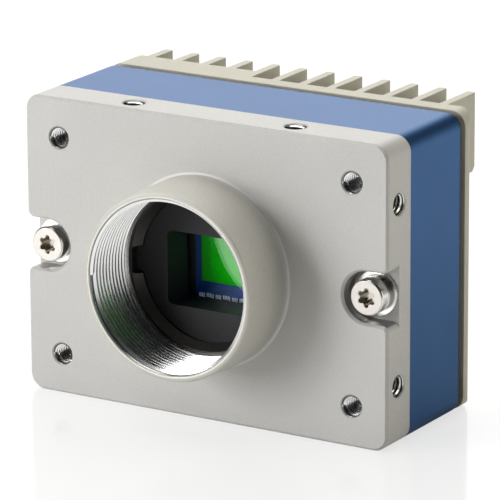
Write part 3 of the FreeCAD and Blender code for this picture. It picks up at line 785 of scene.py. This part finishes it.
class CAMERA_PART_OT_tapped_threads(bpy.types.Operator):
    """Cut the threads of the M3 fixing holes and the M2 lock-screw holes"""
    bl_idname = "camera_part.tapped_threads"
    bl_label = "Tapped hole threads"

    def execute(self, context):
        sizes = context.scene.tapped_thread
        machined = bpy.data.materials["tapped_thread_aluminium"]
        corners = [(side, end) for side in (-1, 1) for end in (-1, 1)]

        front = helical_ridge("front_thread", hole_radius, sizes.depth, sizes.pitch,
                              sizes.front_length, sizes.steps)
        holes = [((side * front_hole_x, face_y + TAP_START, axis_z + end * front_hole_z), (0, 1, 0))
                 for side, end in corners]
        thread_holes("front_hole_threads", front, holes, machined)

        edge = helical_ridge("edge_thread", hole_radius, sizes.depth, sizes.pitch,
                             sizes.edge_length, sizes.steps)
        holes = []
        for side, end in corners:
            level = axis_z + side * (half_height - TAP_START)
            holes.append(((end * top_hole_x, edge_hole_y, level), (0, 0, -side)))
            across = side * (half_width - TAP_START)
            holes.append(((across, edge_hole_y, axis_z + end * side_hole_z), (-side, 0, 0)))
        thread_holes("edge_hole_threads", edge, holes, machined)

        lock = helical_ridge("lock_thread", lock_pattern["dims"]["hole_r_mm"] * MM, sizes.lock_depth,
                             sizes.lock_pitch, sizes.lock_length, sizes.steps)
        middle = Vector(lock_pattern["pos_m"])
        spread = lock_pattern["dims"]["spacing_y_mm"] * MM / 2
        holes = [(middle + Vector((0, -LOCK_START, end * spread)), (0, -1, 0)) for end in (-1, 1)]
        thread_holes("lock_hole_threads", lock, holes, machined)
        return {"FINISHED"}


class CAMERA_PART_OT_imaging_area(bpy.types.Operator):
    """Lay the green imaging area on the sensor die"""
    bl_idname = "camera_part.imaging_area"
    bl_label = "Imaging area"

    def execute(self, context):
        sizes = context.scene.sensor
        clear_selection()
        bpy.ops.mesh.primitive_plane_add(size=1, location=(0, die_low.y, axis_z),
                                         rotation=(math.pi / 2, 0, 0))
        area = bpy.context.object
        area.scale = (sizes.area_width, sizes.area_height, 1)
        settle(area)
        edit(area)
        bpy.ops.mesh.select_all(action="SELECT")
        bpy.ops.mesh.extrude_region_move(TRANSFORM_OT_translate={"value": (0, -sizes.area_rise, 0)})
        bevel_width = 0.05 * MM
        bpy.ops.mesh.inset(thickness=bevel_width, depth=0.25 * sizes.area_rise)
        bpy.ops.mesh.select_all(action="SELECT")
        bpy.ops.mesh.normals_make_consistent(inside=False)
        leave_edit()
        area.name = "imaging_area"
        finish_piece(area, bpy.data.materials["imaging_filter"])
        return {"FINISHED"}


class CAMERA_PART_OT_bond_wires(bpy.types.Operator):
    """Bend the bond wires that join the die's upper and lower edges to its carrier"""
    bl_idname = "camera_part.bond_wires"
    bl_label = "Bond wires"

    def execute(self, context):
        sizes = context.scene.sensor
        wire = self.bend_wire(sizes)
        turned = self.turned_copy(wire)
        in_group, gaps = 11, (4, 10)
        wires = []
        for row, pattern in ((1, wire), (-1, turned)):
            for i in range(sizes.wire_count):
                if i % in_group in gaps:
                    continue
                twin = copy_of(pattern, "bond_wire_copy")
                twin.location.x = (i - (sizes.wire_count - 1) / 2) * sizes.wire_pitch
                staggered = i // 4 % 3 == 1
                twin.location.z = row * sizes.pad_stagger * staggered
                settle(twin)
                wires.append(twin)
        for pattern in (wire, turned):
            bpy.data.objects.remove(pattern)
        finish_piece(join(wires, "bond_wires"), bpy.data.materials["bond_wire"])
        return {"FINISHED"}

    def bend_wire(self, sizes):
        """One wire of the lower row, from its pad on the die down and back to the carrier."""
        width = sizes.wire_width
        pad_z = die_low.z + sizes.pad_inset
        clear_selection()
        bpy.ops.mesh.primitive_cube_add(size=width, location=(0, die_low.y - width / 2, pad_z))
        wire = bpy.context.object
        wire.name = "bond_wire"
        settle(wire)
        edit(wire)
        pick(wire, faces=lambda at: at.z < pad_z - 0.4 * width)
        route = ((-0.05, -0.10), (-0.02, -0.14), (0.04, -0.20), (0.28, -0.12))
        for back, up in route:
            bpy.ops.mesh.extrude_region_move(
                TRANSFORM_OT_translate={"value": (0, back * MM, up * MM)})
        bpy.ops.mesh.select_all(action="SELECT")
        bpy.ops.mesh.normals_make_consistent(inside=False)
        leave_edit()
        soften(wire, 40)
        return wire

    def turned_copy(self, wire):
        """The same wire for the upper row, half a turn round the die's middle."""
        twin = copy_of(wire, "bond_wire_turned")
        about = Matrix.Translation((0, 0, (die_low.z + die_high.z) / 2))
        twin.matrix_world = about @ Matrix.Rotation(math.pi, 4, "Y") @ about.inverted()
        settle(twin)
        return twin


class CAMERA_PART_OT_finishes(bpy.types.Operator):
    """Give every CAD node its finish"""
    bl_idname = "camera_part.finishes"
    bl_label = "Finishes"

    def execute(self, context):
        colours = context.scene.finish_colours
        black = moulded_black("connector_black", 0.016, 0.25 * MM)
        epoxy = moulded_black("chip_black", 0.022, 0.18 * MM)
        tin = plated_metal("tinned_steel", (0.72, 0.71, 0.68), 0.26)
        gold = plated_metal("gold_contacts", (0.85, 0.62, 0.24), 0.2)
        brass = plated_metal("standoff_brass", (0.70, 0.55, 0.30), 0.24)
        bond_wire()
        mount_thread_aluminium(colours)
        tapped_thread_aluminium(colours)
        imaging_filter(colours)
        steel = polished_steel(colours)
        board = board_green()
        finishes = {
            "front_plate": bead_blasted_aluminium(colours),
            "retaining_ring": grey_anodised_ring(colours),
            "sensor_mask": black_mask_plastic(colours),
            "sensor_cover_glass": cover_glass(colours),
            "sensor_die": silicon_die(colours),
            "sensor_package": dark_ceramic(),
            "housing_sleeve": blue_anodised_aluminium(colours),
            "housing_gasket": gasket_rubber(colours),
            "rear_cover": cast_cover_aluminium(colours),
            "plate_screws": steel,
            "board_screws": steel,
            "lock_washers": spring_steel(colours),
            "flat_washers": bright_steel(colours),
            "sensor_board": board,
            "main_board": board,
            "board_standoffs": brass,
            "link_socket": black,
            "link_header": black,
            "processor_chip": epoxy,
            "memory_chips": epoxy,
            "network_transformer": epoxy,
            "thermal_pad": pad_rubber(),
            "network_jack_shield": tin,
            "network_jack_insert": black,
            "network_contacts": gold,
            "header_shroud": black,
            "header_pins": gold,
            "status_led": led_package(),
            "light_pipe": clear_light_pipe(),
        }
        for node, material in finishes.items():
            paint(node, material)
        return {"FINISHED"}


class CAMERA_PART_OT_stage(bpy.types.Operator):
    """Set the floor, the soft lights and the view"""
    bl_idname = "camera_part.stage"
    bl_label = "Stage"

    def execute(self, context):
        scene = context.scene
        studio = scene.studio
        scene.view_settings.view_transform = "Standard"
        self.add_floor()
        self.add_world(scene, studio.ambient)
        self.add_light("key_light", studio.key_power, turn=-41, rise=7, size=0.5)
        self.add_light("small_light", studio.small_power, turn=-40, rise=22, size=0.15)
        self.add_light("top_light", studio.top_power, turn=-141, rise=74, size=0.95, colour=(1, 0.99, 0.95))
        self.add_light("side_light", studio.side_power, turn=110, rise=12, size=0.4, colour=(1, 0.965, 0.80))
        self.add_light("back_light", studio.back_power, turn=-150, rise=22, size=0.5)
        self.add_view(scene, studio)
        return {"FINISHED"}

    def add_floor(self):
        """A pale floor that keeps the object's shadow and reflection, and goes white further off."""
        clear_selection()
        bpy.ops.mesh.primitive_plane_add(size=FLOOR_SIZE, location=(0, 0, plate_low.z))
        floor = bpy.context.object
        floor.name = "studio_floor"
        edit(floor, "EDGE")
        bpy.ops.mesh.select_all(action="SELECT")
        bpy.ops.mesh.subdivide(number_cuts=3)
        leave_edit()
        finish = Finish("studio_floor")
        seen = finish.node("LightPath", output="Is Camera Ray")
        mirrored = finish.node("LightPath", output="Is Glossy Ray")
        passed = finish.node("LightPath", output="Is Transmission Ray")
        white = finish.node("Emission", sockets={"Color": (1, 1, 1, 1), "Strength": 1.06})
        cloud = finish.noise(0.25, 2.0)
        matt = finish.node("BsdfPrincipled", sockets={
            "Base Color": (0.9, 0.9, 0.9, 1), "Roughness": 0.08 + 0.02 * cloud, "IOR": 1.9})
        x, y, _ = finish.parts()
        # Painted shade: reflections see less of the white floor beside the blue side, standing in for the
        # object's shadow there.
        shaded_beside = (x - 0.035).reach(y - 0.03).below(0.055, 0.07) * y.above(-0.02, 0.015)
        far = x.reach(y).above(0.6, 0.7)
        share_seen = seen * (0.66 + 0.34 * far)
        share_mirrored = mirrored.most(passed) * 0.68 * (1 - shaded_beside)
        share = share_seen.most(share_mirrored)
        blend = finish.node("MixShader", sockets={0: share, 1: matt, 2: white})
        floor.data.materials.append(finish.end(blend))

    def add_world(self, scene, ambient):
        """A pale sweep behind, a dark room above and in front, and an even, low room light."""
        finish = Finish("studio_room", "World")
        _, y, rise = finish.parts()
        behind = y.above(0.0, 0.3)
        sweep = rise.below(0.25, 0.12) * behind
        below = rise.below(0.0, 0.04)
        glow = 0.012 + 0.05 * behind + 0.3 * sweep + 0.7 * below
        mirrored = finish.node("Background", sockets={"Color": (1, 1, 1, 1), "Strength": glow})
        room = finish.node("Background", sockets={"Strength": ambient})
        white = finish.node("Background", sockets={"Color": (1, 1, 1, 1)})
        glossy = finish.node("LightPath", output="Is Glossy Ray")
        passed = finish.node("LightPath", output="Is Transmission Ray")
        seen = finish.node("LightPath", output="Is Camera Ray")
        blend = finish.node("MixShader", sockets={0: glossy.most(passed), 1: room, 2: mirrored})
        scene.world = finish.end(finish.node("MixShader", sockets={0: seen, 1: blend, 2: white}))

    def add_light(self, name, power, turn, rise, size, colour=(1, 1, 1)):
        """A soft light, turned round from the lens side and raised, in degrees, and aimed at the camera."""
        light = bpy.data.lights.new(name, "AREA")
        light.energy = power
        light.size = size
        light.color = colour
        lamp = bpy.data.objects.new(name, light)
        turn, rise = math.radians(turn), math.radians(rise)
        reach = Vector((math.sin(turn) * math.cos(rise), -math.cos(turn) * math.cos(rise), math.sin(rise)))
        lamp.location = Vector((0, 0, axis_z)) + LAMP_DISTANCE * reach
        lamp.rotation_euler = reach.to_track_quat("Z", "Y").to_euler()
        bpy.context.collection.objects.link(lamp)

    def add_view(self, scene, studio):
        view = bpy.data.objects.new("studio_view", bpy.data.cameras.new("studio_view"))
        view.data.lens = studio.lens
        view.location = studio.view_from
        looking = Vector(studio.view_to) - Vector(studio.view_from)
        roll = Matrix.Rotation(studio.view_roll, 4, "Z")
        turn = looking.to_track_quat("-Z", "Y").to_matrix().to_4x4() @ roll
        view.rotation_euler = turn.to_euler()
        scene.collection.objects.link(view)
        scene.camera = view


OPERATORS = (
    CAMERA_PART_OT_finishes,
    CAMERA_PART_OT_mount_thread,
    CAMERA_PART_OT_tapped_threads,
    CAMERA_PART_OT_imaging_area,
    CAMERA_PART_OT_bond_wires,
    CAMERA_PART_OT_stage,
)


class CAMERA_PART_PT_panel(bpy.types.Panel):
    """Lists the steps that dress the camera"""
    bl_idname = "CAMERA_PART_PT_panel"
    bl_label = "Machine vision camera"
    bl_space_type = "VIEW_3D"
    bl_region_type = "UI"
    bl_category = "Camera Part"

    def draw(self, context):
        for operator in OPERATORS:
            self.layout.operator(operator.bl_idname)
        for name, group in SETTINGS.items():
            box = self.layout.box()
            box.label(text=name.replace("_", " ").capitalize())
            for prop in group.__annotations__:
                box.prop(getattr(context.scene, name), prop)


CLASSES = (*SETTINGS.values(), *OPERATORS, CAMERA_PART_PT_panel)


def register():
    for cls in CLASSES:
        bpy.utils.register_class(cls)
    for name, group in SETTINGS.items():
        setattr(bpy.types.Scene, name, PointerProperty(type=group))


def unregister():
    for name in SETTINGS:
        delattr(bpy.types.Scene, name)
    for cls in reversed(CLASSES):
        bpy.utils.unregister_class(cls)


def main():
    register()
    bpy.ops.camera_part.finishes()
    bpy.ops.camera_part.mount_thread()
    bpy.ops.camera_part.tapped_threads()
    bpy.ops.camera_part.imaging_area()
    bpy.ops.camera_part.bond_wires()
    bpy.ops.camera_part.stage()


if __name__ == "__main__":
    main()
